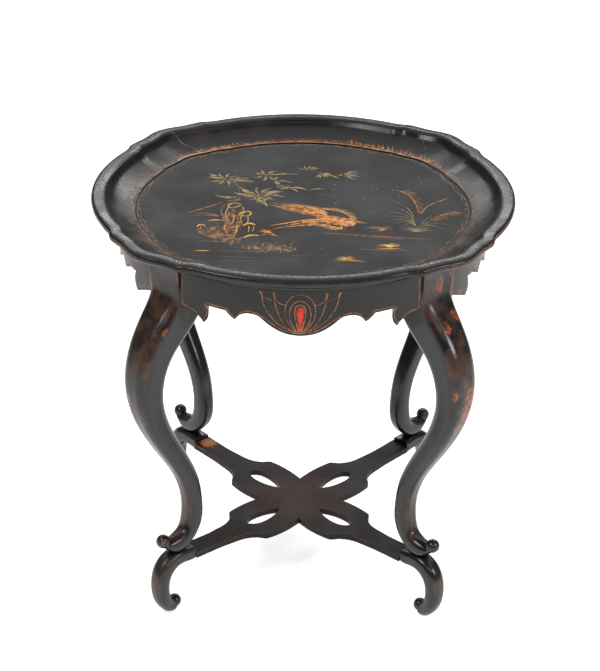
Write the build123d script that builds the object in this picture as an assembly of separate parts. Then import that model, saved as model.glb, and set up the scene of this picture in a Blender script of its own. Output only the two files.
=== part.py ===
from build123d import *
import os
from math import asin, cos, degrees, pi, radians, sin, sqrt

# A tray-top occasional table of ebonised and lacquered wood. The stand has four cabriole legs
# on the diagonals, four curved and fretted aprons, four scrolled feet and a pierced cross
# stretcher. The dished tray is a floor board in a rim of four moulded segments. It sits on the
# stand and lifts off.
# Millimetres, +Z up, origin on the ground under the middle of the table, front at -Y.

# ---- driving dimensions ------------------------------------------------------------------
total_height = 612.0        # ground to the top of the lip
tray_radius = 310.0         # middle of the table to the outside of the lip
tray_depth = 27.0           # top of the lip down to the tray's floor
floor_thickness = 8.0
rim_width = 63.0            # outside of the lip to the edge of the visible floor
board_lap = 15.0            # how far the floor board runs under the rim
board_gap = 0.4             # room for the board's edge in the rim's rabbet
board_rebate = 2.0          # step down around the board, where the rim lies on it

lip_width = 24.0            # outside of the lip to the quirk on its inside
lip_thickness = 13.0        # top of the lip to its underside
lip_underside = 9.0         # width of the flat roll under the lip
quirk_depth = 6.0           # top of the lip to the quirk
foot_edge = 1.5             # upright edge of the rim where it meets the floor
base_edge = 3.0             # upright edge at the bottom of the rim

corner_rise = 15.0          # how far the tray's corners stand out
floor_rise = 8.0            # the same for the floor's outline
shoulder_rise = 6.6         # the step beside each corner
corner_angle = 17.0         # half of the angle that a corner takes
shoulder_angle = 12.5       # angle from a corner's crown to the top of its step
crown_angle = 9.0           # half of the angle of the crown itself

apron_setback = 40.0        # outside of the lip to the aprons' outer faces
apron_thickness = 20.0
apron_depth = 68.0          # at the middle drop, the deepest point
rim_overhang = 3.0          # how far the rim's base stands proud of the aprons

head_width = 61.0           # leg head, between the two aprons
head_depth = 61.0
head_proud = 2.0            # leg head in front of the aprons
head_length = 57.0          # leg head down to the level where the knee starts

knee_swing = 69.5           # middle line of the leg's head out to the knee's
knee_height = 404.0
knee_half = 24.6            # half of the leg's section at the knee
ankle_radius = 225.5
ankle_height = 172.0
ankle_half = 14.4
foot_joint_height = 101.5   # flat seat between leg and foot
curl_radius = 283.0         # the scrolled tip of the leg
curl_height = 127.0
curl_half = 9.6

foot_radius = 290.0         # the foot's middle line at its widest
foot_half = 13.2
foot_sole_radius = 276.0

stretcher_height = 83.5     # top of the crossing above the ground
stretcher_rise = 8.0        # how much higher its ends stand
stretcher_thickness = 9.0
arm_length = 231.0          # middle of the table to the foot
arm_half_width = 17.0
petal_half_width = 46.0
petal_length = 111.0        # middle of the table to the petal's shoulder
notch_radius = 60.0         # middle of the table to the bottom of the notch between petals
piercing_start = 44.0
piercing_end = 112.0
piercing_half_width = 12.5

tenon_length = 15.0
tenon_thickness = 8.0
tenon_height = 38.0
foot_tenon_length = 15.0
foot_tenon_width = 18.0
dowel_radius = 4.5
dowel_half_length = 16.0
dowel_setback = 31.5        # ankle's middle line out to the dowel
tongue_length = 36.0
tongue_width = 8.0
tongue_thickness = 3.0
tongue_height = 5.5         # bottom of the rim up to the tongue's middle

block_width = 16.0
block_height = 40.0
batten_width = 40.0
batten_thickness = 16.0
batten_spacing = 190.0      # between the battens' middle lines
batten_clearance = 3.0      # between the battens' ends and the aprons
screw_radius = 2.0
screw_head_radius = 4.0
screw_head_height = 3.0
screw_grip = 4.5            # length of thread in the floor board

glue_gap = 0.1              # round dowels, screws and other curved fits
corners = {"front_left": 225, "front_right": 315, "back_right": 45, "back_left": 135}
sides = {"front": 0, "right": 90, "back": 180, "left": 270}

# ---- levels and radii that follow ----------------------------------------------------------
floor_top = total_height - tray_depth
floor_bottom = floor_top - floor_thickness      # also the top of the stand
floor_radius = tray_radius - rim_width
board_radius = floor_radius + board_lap
apron_radius = tray_radius - apron_setback
rim_base_radius = apron_radius + rim_overhang
apron_inner = apron_radius - apron_thickness
head_outer = apron_radius + head_proud
head_middle = head_outer - head_depth / 2
knee_radius = head_middle + knee_swing
batten_edge = (batten_spacing + batten_width) / 2
batten_length = 2 * (sqrt(apron_inner**2 - batten_edge**2) - batten_clearance)
screw_seat = floor_bottom - batten_thickness + screw_head_height
screw_top = floor_bottom + screw_grip


def bump(from_crown):
    """The share of a corner's rise at an angle from its crown: a step, a level and a crown."""
    step = shoulder_rise / corner_rise
    if from_crown >= corner_angle:
        return 0.0
    if from_crown > shoulder_angle:
        t = (corner_angle - from_crown) / (corner_angle - shoulder_angle)
        return step * t * t * (3 - 2 * t)
    if from_crown > crown_angle:
        return step
    return step + (1 - step) * (1 + cos(pi * from_crown / crown_angle)) / 2


def rim_section(angle, share):
    """The rim's moulding, cut through at an angle from +X, with its share of a corner's rise."""
    foot = floor_radius + floor_rise * share
    rebate = floor_top - board_rebate
    outside = tray_radius + corner_rise * share
    quirk = outside - lip_width
    cove_top = total_height - quirk_depth
    cove_bottom = floor_top + foot_edge
    lip_bottom = total_height - lip_thickness
    underside = outside - lip_underside
    cove = Spline(
        (foot, cove_bottom),
        (foot + 0.55 * (quirk - foot), cove_bottom + 0.30 * (cove_top - cove_bottom)),
        (quirk, cove_top),
        tangents=[(1, 0.12), (0.45, 1)],
    )
    crest = (quirk + 0.38 * lip_width, total_height)
    brow = (outside, total_height - 0.46 * lip_thickness)
    lip = [
        Spline((quirk, cove_top), crest, tangents=[(0.5, 1), (1, 0)]),
        Spline(crest, brow, tangents=[(1, 0), (0, -1)]),
        Spline(brow, (underside, lip_bottom), tangents=[(0, -1), (-1, 0)]),
    ]
    ogee = Spline(
        (underside, lip_bottom),
        (rim_base_radius + 0.45 * (underside - rim_base_radius), lip_bottom - 6.5),
        (rim_base_radius, floor_bottom + base_edge),
        tangents=[(-1, 0), (-0.5, -1)],
    )
    edges = [
        Line((foot, rebate), (foot, cove_bottom)),
        cove,
        *lip,
        ogee,
        Line((rim_base_radius, floor_bottom + base_edge), (rim_base_radius, floor_bottom)),
        Line((rim_base_radius, floor_bottom), (board_radius, floor_bottom)),
        Line((board_radius, floor_bottom), (board_radius, rebate)),
        Line((board_radius, rebate), (foot, rebate)),
    ]
    a = radians(angle)
    cut = Plane(origin=(0, 0, 0), x_dir=(cos(a), sin(a), 0), z_dir=(sin(a), -cos(a), 0))
    return cut * make_face(edges)


def make_tongue():
    """A loose tongue across the joint at +X+Y, in the thick base of the rim."""
    middle = (board_radius + rim_base_radius) / 2
    tongue = Box(tongue_width, tongue_length, tongue_thickness)
    return Rot(0, 0, 45) * Pos(middle, 0, floor_bottom + tongue_height) * tongue


def make_rim_segment():
    """The right-hand quarter of the rim, from corner to corner: a turned run, and at each end
    half of a corner with its slot for the tongue."""
    run_end = 45 - corner_angle
    run = revolve(rim_section(-run_end, 0), axis=Axis.Z, revolution_arc=2 * run_end)
    cuts = 12
    angles = [run_end + corner_angle * n / cuts for n in range(cuts + 1)]
    corner = loft([rim_section(a, bump(45 - a)) for a in angles])
    segment = run + corner + mirror(corner, about=Plane.XZ)
    slot = make_tongue()
    return segment - slot - Rot(0, 0, -90) * slot


def screw_places():
    """Where the batten screws stand: three to each batten."""
    reach = 0.75 * batten_length / 2
    return [(x, y) for x in (-batten_spacing / 2, batten_spacing / 2) for y in (-reach, 0, reach)]


def make_floor(rims):
    """The floor board: a disc, rebated to lie under the rim up to the line of the floor's edge,
    with the pilot holes for the battens' screws."""
    board = Cylinder(board_radius - board_gap, floor_thickness)
    board = Pos(0, 0, floor_bottom + floor_thickness / 2) * board
    for rim in rims:
        board -= rim
    for x, y in screw_places():
        hole = Cylinder(screw_radius + glue_gap, screw_grip)
        board -= Pos(x, y, floor_bottom + screw_grip / 2) * hole
    return board


def make_batten(side):
    """A batten under the floor, which also centres the tray between the aprons."""
    batten = Box(batten_width, batten_length, batten_thickness)
    batten = chamfer(batten.edges().filter_by(Axis.X).group_by(Axis.Z)[0], 5)
    batten = Pos(side * batten_spacing / 2, 0, floor_bottom - batten_thickness / 2) * batten
    for x, y in screw_places():
        if x * side > 0:
            hole = Cylinder(screw_radius + glue_gap, batten_thickness)
            batten -= Pos(x, y, floor_bottom - batten_thickness / 2) * hole
            sink = Cylinder(screw_head_radius + glue_gap, screw_head_height)
            batten -= Pos(x, y, screw_seat - screw_head_height / 2) * sink
    return batten


def make_screws():
    """The six round-headed screws that hold the battens up to the floor board."""
    screws = []
    for x, y in screw_places():
        head = Pos(x, y, screw_seat - screw_head_height / 2)
        head *= Cylinder(screw_head_radius, screw_head_height)
        shank = Pos(x, y, (screw_seat + screw_top) / 2)
        shank *= Cylinder(screw_radius, screw_top - screw_seat)
        slot = Box(2.2 * screw_head_radius, 0.8, 1.2)
        screws.append(head + shank - Pos(x, y, screw_seat - screw_head_height) * slot)
    return Compound(children=screws)


# ---- the stand -----------------------------------------------------------------------------
def apron_outline():
    """The fretted lower edge. Across, points are shares of the half length between leg and
    middle; down, they are depths below the top, as shares of the drop's depth."""
    joint_angle = 45 - degrees(asin(head_width / 2 / apron_radius))
    half = apron_radius * sin(radians(joint_angle))
    past_joint = apron_radius * sin(radians(45))

    def at(across, down):
        return (across * half, floor_bottom - down * apron_depth)

    drop = Spline(
        at(0, 1),
        at(0.19, 0.89),
        at(0.30, 0.70),
        at(0.415, 0.583),
        tangents=[(1, 0), (1, 0)],
    )
    scallop = ThreePointArc(at(0.415, 0.583), at(0.487, 0.632), at(0.534, 0.768))
    small_tooth = ThreePointArc(at(0.534, 0.768), at(0.580, 0.694), at(0.613, 0.600))
    bar = Line(at(0.613, 0.600), at(0.775, 0.582))
    hook = ThreePointArc(at(0.775, 0.582), at(0.755, 0.780), at(0.799, 0.995))
    large_tooth = ThreePointArc(at(0.799, 0.995), at(0.865, 0.840), at(0.955, 0.780))
    sill = Line(at(0.955, 0.780), (past_joint, floor_bottom - 0.815 * apron_depth))
    end = Line((past_joint, floor_bottom - 0.815 * apron_depth), (past_joint, floor_bottom))
    top = Line((past_joint, floor_bottom), (0, floor_bottom))
    middle = Line((0, floor_bottom), (0, floor_bottom - apron_depth))
    half_face = make_face([drop, scallop, small_tooth, bar, hook, large_tooth, sill, end, top, middle])
    return half_face + mirror(half_face, about=Plane.YZ)


def tenon_box(side, extra=0.0):
    """A tenon of an apron into the leg at +X, on the side of that leg where side points."""
    middle = sqrt((apron_radius - apron_thickness / 2) ** 2 - (head_width / 2) ** 2)
    root = 6
    length = tenon_length + root
    tenon = Box(tenon_thickness, length + extra, tenon_height)
    across = head_width / 2 + root - (length + extra) / 2
    return Pos(middle, side * across, floor_bottom - 8 - tenon_height / 2) * tenon


def make_apron():
    """The front apron: a curved board with a fretted edge and a tenon at each end."""
    ring = Cylinder(apron_radius, apron_depth) - Cylinder(apron_inner, apron_depth)
    ring = Pos(0, 0, floor_bottom - apron_depth / 2) * ring
    fret = extrude(Plane.XZ * apron_outline(), amount=apron_radius + 1)
    apron = ring & fret
    for angle, side in ((225, 1), (315, -1)):
        head_space = Rot(0, 0, angle) * Pos(apron_radius, 0, floor_bottom - apron_depth / 2)
        apron -= head_space * Box(apron_radius, head_width, 2 * apron_depth)
        apron += Rot(0, 0, angle) * tenon_box(side)
    return apron


def leg_line():
    """The leg's middle line, in the plane of its diagonal, from the head to the curl."""
    head_bottom = floor_bottom - head_length
    swing = knee_radius - head_middle
    drop = head_bottom - knee_height
    fall = knee_height - ankle_height
    return Spline(
        (head_middle, 0, floor_bottom),
        (head_middle, 0, floor_bottom - 0.47 * head_length),
        (head_middle + 0.08 * swing, 0, head_bottom),
        (head_middle + 0.58 * swing, 0, knee_height + 0.61 * drop),
        (knee_radius, 0, knee_height),
        (ankle_radius + 0.567 * (knee_radius - ankle_radius), 0, ankle_height + 0.509 * fall),
        (ankle_radius, 0, ankle_height),
        (ankle_radius + 24.5, 0, foot_joint_height + ankle_half + 0.8),
        (ankle_radius + 42.5, 0, foot_joint_height + ankle_half - 2.0),
        (curl_radius, 0, curl_height),
        tangents=[(0, 0, -1), (0.6, 0, 0.8)],
    )


def limb(line, stations):
    """A limb lofted along its middle line. Each station is its place on the line, from 0 to 1,
    its half width, its half depth and how round its corners are, from 0 to 1."""
    cuts = []
    for place, half_width, half_depth, roundness in stations:
        frame = Plane(origin=line @ place, x_dir=(0, 1, 0), z_dir=line % place)
        corner = roundness * min(half_width, half_depth)
        cuts.append(frame * RectangleRounded(2 * half_width, 2 * half_depth, corner))
    return loft(cuts)


def make_leg():
    """A cabriole leg at +X: head, knee, ankle and the curl that its lower end turns out into."""
    line = leg_line()
    head = head_width / 2 + 1       # planed back to the head's width below
    knee_place = line.param_at_point(Vector(knee_radius, 0, knee_height))
    ankle_place = line.param_at_point(Vector(ankle_radius, 0, ankle_height))
    stations = [(0.0, head, head_depth / 2, 0.12), (0.06, head, head_depth / 2, 0.20)]
    stations += [(knee_place * 0.30, head, head_depth / 2, 0.42)]
    stations += [(knee_place * 0.48, 0.99 * head_width / 2, 0.98 * head_depth / 2, 0.55)]
    stations += [(knee_place * 0.70, 0.90 * head_width / 2, 0.92 * head_depth / 2, 0.62)]
    for n in range(7):
        share = n / 6
        place = knee_place + share * (ankle_place - knee_place)
        half = ankle_half + (knee_half - ankle_half) * (1 - share) ** 2
        stations.append((place, half, half, 0.68 + 0.08 * share))
    heel = [(0.35, 1.00, 0.80), (0.60, 0.98, 0.85), (0.80, 0.86, 0.92)]
    for share, size, roundness in heel:
        place = ankle_place + share * (1 - ankle_place)
        stations.append((place, size * ankle_half, size * ankle_half, roundness))
    stations.append((1.0, curl_half, curl_half, 0.97))
    leg = limb(line, stations) + Pos(line @ 1.0) * Sphere(1.08 * curl_half)
    leg &= Pos(0, 0, total_height / 2) * Box(4 * knee_radius, head_width, total_height)
    leg -= Pos(knee_radius, 0, 0) * Box(2 * knee_radius, 2 * head_width, 2 * foot_joint_height)
    for side in (1, -1):
        leg -= tenon_box(side, glue_gap)
    return leg - dowel(glue_gap)


def dowel(extra=0.0):
    """The dowel between the leg and the foot at +X, or with extra its hole."""
    place = Pos(ankle_radius + dowel_setback, 0, foot_joint_height)
    return place * Cylinder(dowel_radius + extra, 2 * dowel_half_length)


def make_foot():
    """A foot at +X: it leaves the stretcher level, bows out, and scrolls inwards on the ground."""
    end_height = stretcher_height + stretcher_rise - stretcher_thickness / 2 + 3
    sole_half = 0.86 * foot_half
    line = Spline(
        (arm_length, 0, end_height),
        (arm_length + 21, 0, end_height + 1),
        (foot_radius - 22, 0, end_height - 1),
        (foot_radius - 2, 0, 68),
        (foot_radius, 0, 52),
        (foot_radius - 4, 0, 27),
        (foot_sole_radius, 0, sole_half + 1.5),
        (foot_sole_radius - 9, 0, sole_half - 0.8),
        tangents=[(1, 0, 0), (-1, 0, -0.1)],
    )
    stations = [(0.0, 15.0, 9.5, 0.60), (0.14, 14.5, 11.5, 0.70), (0.28, 14.5, 13.5, 0.78)]
    stations += [(0.42, 1.08 * foot_half, 1.08 * foot_half, 0.82)]
    stations += [(0.56, 1.02 * foot_half, 1.02 * foot_half, 0.84)]
    stations += [(0.72, 0.96 * foot_half, 0.96 * foot_half, 0.86)]
    stations += [(0.88, sole_half, sole_half, 0.88), (1.0, 0.8 * foot_half, 0.8 * foot_half, 0.95)]
    knob = 0.76 * foot_half
    foot = limb(line, stations)
    foot += Pos(foot_sole_radius - 13, 0, knob + 3.5) * Sphere(knob)
    seat = Box(4 * foot_radius, 4 * foot_half, foot_joint_height)
    foot &= Pos(0, 0, foot_joint_height / 2) * seat
    return foot - dowel(glue_gap) - arm_tenon(glue_gap)


def arm_tenon(extra=0.0):
    """The tenon of a stretcher arm into the foot at +X, or with extra its mortise."""
    length = foot_tenon_length + extra
    tenon = Box(length, foot_tenon_width, stretcher_thickness - 3)
    height = stretcher_height + stretcher_rise - stretcher_thickness / 2
    return Pos(arm_length + length / 2, 0, height) * tenon


def arm_outline():
    """A quarter of a stretcher plank's outline: half of its width, from the middle out."""
    notch = notch_radius * cos(radians(45))
    shoulder = (petal_length, petal_half_width - 3)
    throat = (petal_length + 8, 0.69 * petal_half_width)
    petal = Spline(
        (notch, notch),
        (0.58 * petal_length, petal_half_width - 0.5),
        (0.78 * petal_length, petal_half_width),
        shoulder,
    )
    hook = ThreePointArc(shoulder, (petal_length + 5, 0.80 * petal_half_width), throat)
    taper = Spline(
        throat,
        (petal_length + 22, 1.34 * arm_half_width),
        (petal_length + 50, 1.06 * arm_half_width),
        (arm_length, arm_half_width),
        tangents=[(1, -0.75), (1, 0.02)],
    )
    edges = [
        Line((0, 0), (0, notch)),
        Line((0, notch), (notch, notch)),
        petal,
        hook,
        taper,
        Line((arm_length, arm_half_width), (arm_length, 0)),
        Line((arm_length, 0), (0, 0)),
    ]
    return make_face(edges)


def piercing_outline():
    """Half of the almond-shaped piercing of an arm."""
    length = piercing_end - piercing_start
    almond = Spline(
        (piercing_start, 0),
        (piercing_start + 0.27 * length, 0.72 * piercing_half_width),
        (piercing_start + 0.58 * length, piercing_half_width),
        (piercing_start + 0.88 * length, 0.72 * piercing_half_width),
        (piercing_end, 0),
    )
    return make_face([almond, Line((piercing_end, 0), (piercing_start, 0))])


def make_stretcher(upper):
    """A stretcher plank along X, bowed so that its ends stand higher than its middle. The
    upper plank is halved from below at the crossing, and the lower plank from above."""
    half = arm_outline() - piercing_outline()
    arm = half + mirror(half, about=Plane.XZ)
    outline = arm + mirror(arm, about=Plane.YZ)
    plank = extrude(outline, amount=2 * stretcher_height)
    bow_radius = (arm_length**2 + stretcher_rise**2) / (2 * stretcher_rise)
    bow = Cylinder(bow_radius + stretcher_thickness, 4 * arm_half_width + 4 * petal_half_width)
    bow -= Cylinder(bow_radius, 4 * arm_half_width + 4 * petal_half_width)
    plank &= Pos(0, 0, stretcher_height + bow_radius) * Rot(90, 0, 0) * bow
    for turn in (0, 180):
        plank += Rot(0, 0, turn) * arm_tenon()
    notch = 2 * notch_radius * cos(radians(45))
    lap = Box(notch, 2 * notch, stretcher_thickness)
    lap_middle = stretcher_height - stretcher_thickness / 2
    drop = -0.5 if upper else 0.5
    return plank - Pos(0, 0, lap_middle + drop * stretcher_thickness) * lap


def make_block():
    """A glue block in the corner between the leg at +X and the apron on its +Y side."""
    start = apron_inner - block_width - 4
    block = Box(2 * block_width, block_width, block_height)
    middle = (start + block_width, (head_width + block_width) / 2)
    block = Pos(*middle, floor_bottom - batten_thickness / 4 - block_height / 2) * block
    return block & Cylinder(apron_inner - glue_gap, 2 * total_height)


# ---- the parts, one file each ----------------------------------------------------------------
rim_segment = make_rim_segment()
rims = {}
for name, angle in (("right", 0), ("back", 90), ("left", 180), ("front", 270)):
    rims["rim_" + name] = Rot(0, 0, angle) * rim_segment
parts = {
    "tray_floor": make_floor(rims.values()),
    "batten_left": make_batten(-1),
    "batten_right": make_batten(1),
    "batten_screws": make_screws(),
    **rims,
}
for name, angle in corners.items():
    parts["rim_tongue_" + name] = Rot(0, 0, angle - 45) * make_tongue()

apron = make_apron()
for name, angle in sides.items():
    parts["apron_" + name] = Rot(0, 0, angle) * apron
leg = make_leg()
foot = make_foot()
block = make_block()
for name, angle in corners.items():
    parts["leg_" + name] = Rot(0, 0, angle) * leg
    parts["foot_" + name] = Rot(0, 0, angle) * foot
    parts["dowel_" + name] = Rot(0, 0, angle) * dowel()
    parts["glue_block_" + name + "_a"] = Rot(0, 0, angle) * block
    parts["glue_block_" + name + "_b"] = Rot(0, 0, angle) * mirror(block, about=Plane.XZ)
parts["stretcher_lower"] = Rot(0, 0, 45) * make_stretcher(upper=False)
parts["stretcher_upper"] = Rot(0, 0, 135) * make_stretcher(upper=True)

os.makedirs("parts", exist_ok=True)
for name, part in parts.items():
    export_step(part, "parts/" + name + ".step")
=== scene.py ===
import random
from math import atan2, cos, hypot, pi, radians, sin

import bpy
from mathutils import Matrix, Quaternion, Vector
from mathutils.bvhtree import BVHTree


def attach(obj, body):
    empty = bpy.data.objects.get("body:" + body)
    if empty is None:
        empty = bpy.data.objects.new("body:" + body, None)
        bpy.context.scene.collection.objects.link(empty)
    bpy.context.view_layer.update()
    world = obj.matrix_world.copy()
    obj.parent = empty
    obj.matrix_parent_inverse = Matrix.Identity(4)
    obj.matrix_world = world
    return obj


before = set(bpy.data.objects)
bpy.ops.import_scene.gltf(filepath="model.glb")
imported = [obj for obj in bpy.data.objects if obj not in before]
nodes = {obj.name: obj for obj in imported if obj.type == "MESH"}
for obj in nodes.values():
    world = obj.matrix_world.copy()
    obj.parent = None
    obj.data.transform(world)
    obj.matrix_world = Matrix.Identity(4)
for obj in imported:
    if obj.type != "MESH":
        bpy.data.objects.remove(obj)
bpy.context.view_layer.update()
bpy.ops.object.select_all(action="DESELECT")

# ---- the studio ------------------------------------------------------------------------------
# A white paper floor that fills the view and glows a little, so that shadows on it stay faint. A
# wide soft light overhead, softboxes at the front left, the front and the right, and a narrow
# strip behind, which draws the bright line along the front of the lip.
bpy.ops.mesh.primitive_grid_add(x_subdivisions=4, y_subdivisions=4, size=16)
paper = bpy.context.object
paper.name = "paper_floor"
paper_white = bpy.data.materials.new("paper_white")
paper_white.use_nodes = True
paper_shader = paper_white.node_tree.nodes["Principled BSDF"]
paper_shader.inputs["Base Color"].default_value = (0.93, 0.93, 0.93, 1)
paper_shader.inputs["Roughness"].default_value = 0.9
paper_shader.inputs["Specular IOR Level"].default_value = 0.0
paper_shader.inputs["Emission Color"].default_value = (1, 1, 1, 1)
paper_shader.inputs["Emission Strength"].default_value = 0.66
paper.data.materials.append(paper_white)

world = bpy.data.worlds.new("studio")
bpy.context.scene.world = world
world.use_nodes = True
world.node_tree.nodes["Background"].inputs["Color"].default_value = (0.96, 0.98, 1.0, 1)
world.node_tree.nodes["Background"].inputs["Strength"].default_value = 0.17
bpy.context.scene.view_settings.view_transform = "Standard"


def softbox(name, place, aim, width, height, power):
    """A rectangular area light at a place, turned to face the point it is aimed at."""
    bpy.ops.object.light_add(type="AREA", location=place)
    light = bpy.context.object
    light.name = name
    light.data.shape = "RECTANGLE"
    light.data.size = width
    light.data.size_y = height
    light.data.energy = power
    light.rotation_mode = "QUATERNION"
    light.rotation_quaternion = (Vector(place) - Vector(aim)).to_track_quat("Z", "Y")


softbox("light_overhead", (0, 1.3, 2.9), (0, 1.3, 0), 5.0, 4.2, 62)
softbox("light_front_left", (-1.3, -1.2, 2.2), (0, 0, 0.5), 0.7, 0.7, 24)
softbox("light_front", (0.3, -3.2, 2.6), (0, 0, 0.5), 3.0, 0.7, 16)
softbox("light_right", (1.75, -1.15, 1.30), (0, 0, 0.6), 0.90, 0.50, 19)
softbox("light_behind", (0.1, 2.3, 1.75), (0, 0, 0.6), 2.6, 0.10, 17)

aim = Vector((-0.0023, 0, 0.3716))
azimuth, elevation, roll = radians(0.5), radians(27.1), radians(0.7)
distance = 3.2125
away = Vector((sin(azimuth) * cos(elevation), -cos(azimuth) * cos(elevation), sin(elevation)))
bpy.ops.object.camera_add(location=aim + distance * away)
camera = bpy.context.object
camera.rotation_mode = "QUATERNION"
camera.rotation_quaternion = away.to_track_quat("Z", "Y") @ Quaternion((0, 0, 1), roll)
camera.data.sensor_width = 36
camera.data.lens = 113.7
bpy.context.scene.camera = camera

# ---- cross stretcher -------------------------------------------------------------------------
# Two fretted and pierced planks, halved over each other. Their lacquer is thin, dark brown with
# a reddish middle, and rubbed grey along the edges. The back left end has lost its lacquer.


def feed(tree, value, socket):
    """Links a socket, or sets it to a plain value."""
    if isinstance(value, bpy.types.NodeSocket):
        tree.links.new(value, socket)
    elif socket.type == "RGBA" and len(value) == 3:
        socket.default_value = (*value, 1)
    else:
        socket.default_value = value


def add_node(tree, kind, inputs=None, **settings):
    """A shader node with its settings, and with its named inputs set or linked."""
    made = tree.nodes.new("ShaderNode" + kind)
    for name, value in settings.items():
        setattr(made, name, value)
    for name, value in (inputs or {}).items():
        feed(tree, value, made.inputs[name])
    return made


def maths(tree, operation, first, second=0.0):
    """The result of a Math node."""
    made = add_node(tree, "Math", operation=operation)
    feed(tree, first, made.inputs[0])
    feed(tree, second, made.inputs[1])
    return made.outputs[0]


def ramp(tree, value, low, high, to_low=0.0, to_high=1.0):
    """A value taken smoothly from one range to another, and held inside it."""
    made = add_node(tree, "MapRange", {"Value": value}, interpolation_type="SMOOTHSTEP")
    made.inputs["From Min"].default_value = low
    made.inputs["From Max"].default_value = high
    made.inputs["To Min"].default_value = to_low
    made.inputs["To Max"].default_value = to_high
    return made.outputs["Result"]


def colour_mix(tree, share, first, second):
    """Two colours mixed by a share of the second."""
    made = add_node(tree, "Mix", data_type="RGBA")
    feed(tree, share, made.inputs[0])
    feed(tree, first, made.inputs[6])
    feed(tree, second, made.inputs[7])
    return made.outputs[2]


def noise(tree, place, scale, detail=4.0, roughness=0.55):
    """Cloudy noise at a place, from 0 to 1."""
    inputs = {"Vector": place, "Scale": scale, "Detail": detail, "Roughness": roughness}
    return add_node(tree, "TexNoise", inputs).outputs["Fac"]


def node_group(name, inputs, outputs):
    """An empty shader node group, with its named sockets."""
    group = bpy.data.node_groups.new(name, "ShaderNodeTree")
    for title, kind in inputs:
        group.interface.new_socket(title, in_out="INPUT", socket_type="NodeSocket" + kind)
    for title, kind in outputs:
        group.interface.new_socket(title, in_out="OUTPUT", socket_type="NodeSocket" + kind)
    return group, group.nodes.new("NodeGroupInput"), group.nodes.new("NodeGroupOutput")


def make_aged_lacquer():
    """Old lacquer: cloudy, a little brown in patches, finely crazed, flecked with dust and
    rubbed through to its undercoat where Wear is high."""
    sides_in = [("Lacquer", "Color"), ("Undercoat", "Color"), ("Wear", "Float")]
    sides_out = [("Color", "Color"), ("Roughness", "Float"), ("Height", "Float")]
    group, enter, leave = node_group("aged_lacquer", sides_in, sides_out)
    place = add_node(group, "TexCoord").outputs["Object"]
    cloud = noise(group, place, 16, 5)
    fine = noise(group, place, 260, 4, 0.65)
    grit = noise(group, place, 900, 2)
    crazing = add_node(group, "TexVoronoi", {"Vector": place, "Scale": 95}, feature="DISTANCE_TO_EDGE")
    crack = ramp(group, crazing.outputs["Distance"], 0.0, 0.05, 1.0, 0.0)
    crack = maths(group, "MULTIPLY", crack, ramp(group, cloud, 0.50, 0.62))
    tired = ramp(group, cloud, 0.46, 0.78, 0.0, 0.55)
    colour = colour_mix(group, tired, enter.outputs["Lacquer"], (0.034, 0.024, 0.018))
    ragged = maths(group, "ADD", maths(group, "MULTIPLY", fine, 0.9), maths(group, "MULTIPLY", cloud, 0.8))
    reach = maths(group, "ADD", enter.outputs["Wear"], ragged)
    bare = ramp(group, reach, 1.28, 1.50)
    colour = colour_mix(group, bare, colour, enter.outputs["Undercoat"])
    fleck = maths(group, "MULTIPLY", ramp(group, grit, 0.70, 0.76), ramp(group, fine, 0.5, 0.7))
    colour = colour_mix(group, maths(group, "MULTIPLY", fleck, 0.6), colour, (0.20, 0.17, 0.14))
    group.links.new(colour, leave.inputs["Color"])
    rough = maths(
        group, "ADD", ramp(group, cloud, 0.3, 0.8, 0.25, 0.42), maths(group, "MULTIPLY", bare, 0.30),
    )
    group.links.new(
        maths(group, "ADD", rough, maths(group, "MULTIPLY", fine, 0.06)), leave.inputs["Roughness"],
    )
    height = maths(
        group, "SUBTRACT", maths(group, "MULTIPLY", fine, 0.5), maths(group, "MULTIPLY", bare, 0.5),
    )
    height = maths(group, "SUBTRACT", height, maths(group, "MULTIPLY", crack, 0.5))
    wavy = maths(group, "MULTIPLY", cloud, 1.2)
    group.links.new(maths(group, "ADD", height, wavy), leave.inputs["Height"])
    return group


def make_edge_rub():
    """Finds the sharp edges of a piece: 1 on an edge, falling to 0 within its Width."""
    group, enter, leave = node_group("edge_rub", [("Width", "Float")], [("Edge", "Float")])
    soft = add_node(group, "Bevel", {"Radius": enter.outputs["Width"]}, samples=4)
    sharp = add_node(group, "NewGeometry")
    alike = add_node(group, "VectorMath", operation="DOT_PRODUCT")
    group.links.new(soft.outputs["Normal"], alike.inputs[0])
    group.links.new(sharp.outputs["Normal"], alike.inputs[1])
    edge = ramp(group, alike.outputs["Value"], 0.75, 0.995, 1.0, 0.0)
    group.links.new(edge, leave.inputs["Edge"])
    return group


aged_lacquer = make_aged_lacquer()
edge_rub = make_edge_rub()


def use_group(tree, group, inputs):
    """A node group placed in a material."""
    made = tree.nodes.new("ShaderNodeGroup")
    made.node_tree = group
    for name, value in inputs.items():
        feed(tree, value, made.inputs[name])
    return made


def lacquer_finish(name, lacquer, undercoat, wear, specular=0.45, bump=0.0005, matt=0.0):
    """A lacquered surface. lacquer, undercoat and wear are values, or functions of the tree
    that give a socket. matt is added to the roughness."""
    material = bpy.data.materials.new(name)
    material.use_nodes = True
    tree = material.node_tree
    shader = tree.nodes["Principled BSDF"]
    inputs = {"Lacquer": lacquer, "Undercoat": undercoat, "Wear": wear}
    inputs = {title: value(tree) if callable(value) else value for title, value in inputs.items()}
    coat = use_group(tree, aged_lacquer, inputs)
    tree.links.new(coat.outputs["Color"], shader.inputs["Base Color"])
    tree.links.new(maths(tree, "ADD", coat.outputs["Roughness"], matt), shader.inputs["Roughness"])
    shader.inputs["Specular IOR Level"].default_value = specular
    relief = add_node(tree, "Bump", {"Height": coat.outputs["Height"], "Strength": 0.35})
    relief.inputs["Distance"].default_value = bump
    tree.links.new(relief.outputs["Normal"], shader.inputs["Normal"])
    return material


def dress(names, material):
    """Gives CAD pieces their finish."""
    for name in names:
        nodes[name].data.materials.clear()
        nodes[name].data.materials.append(material)


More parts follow.
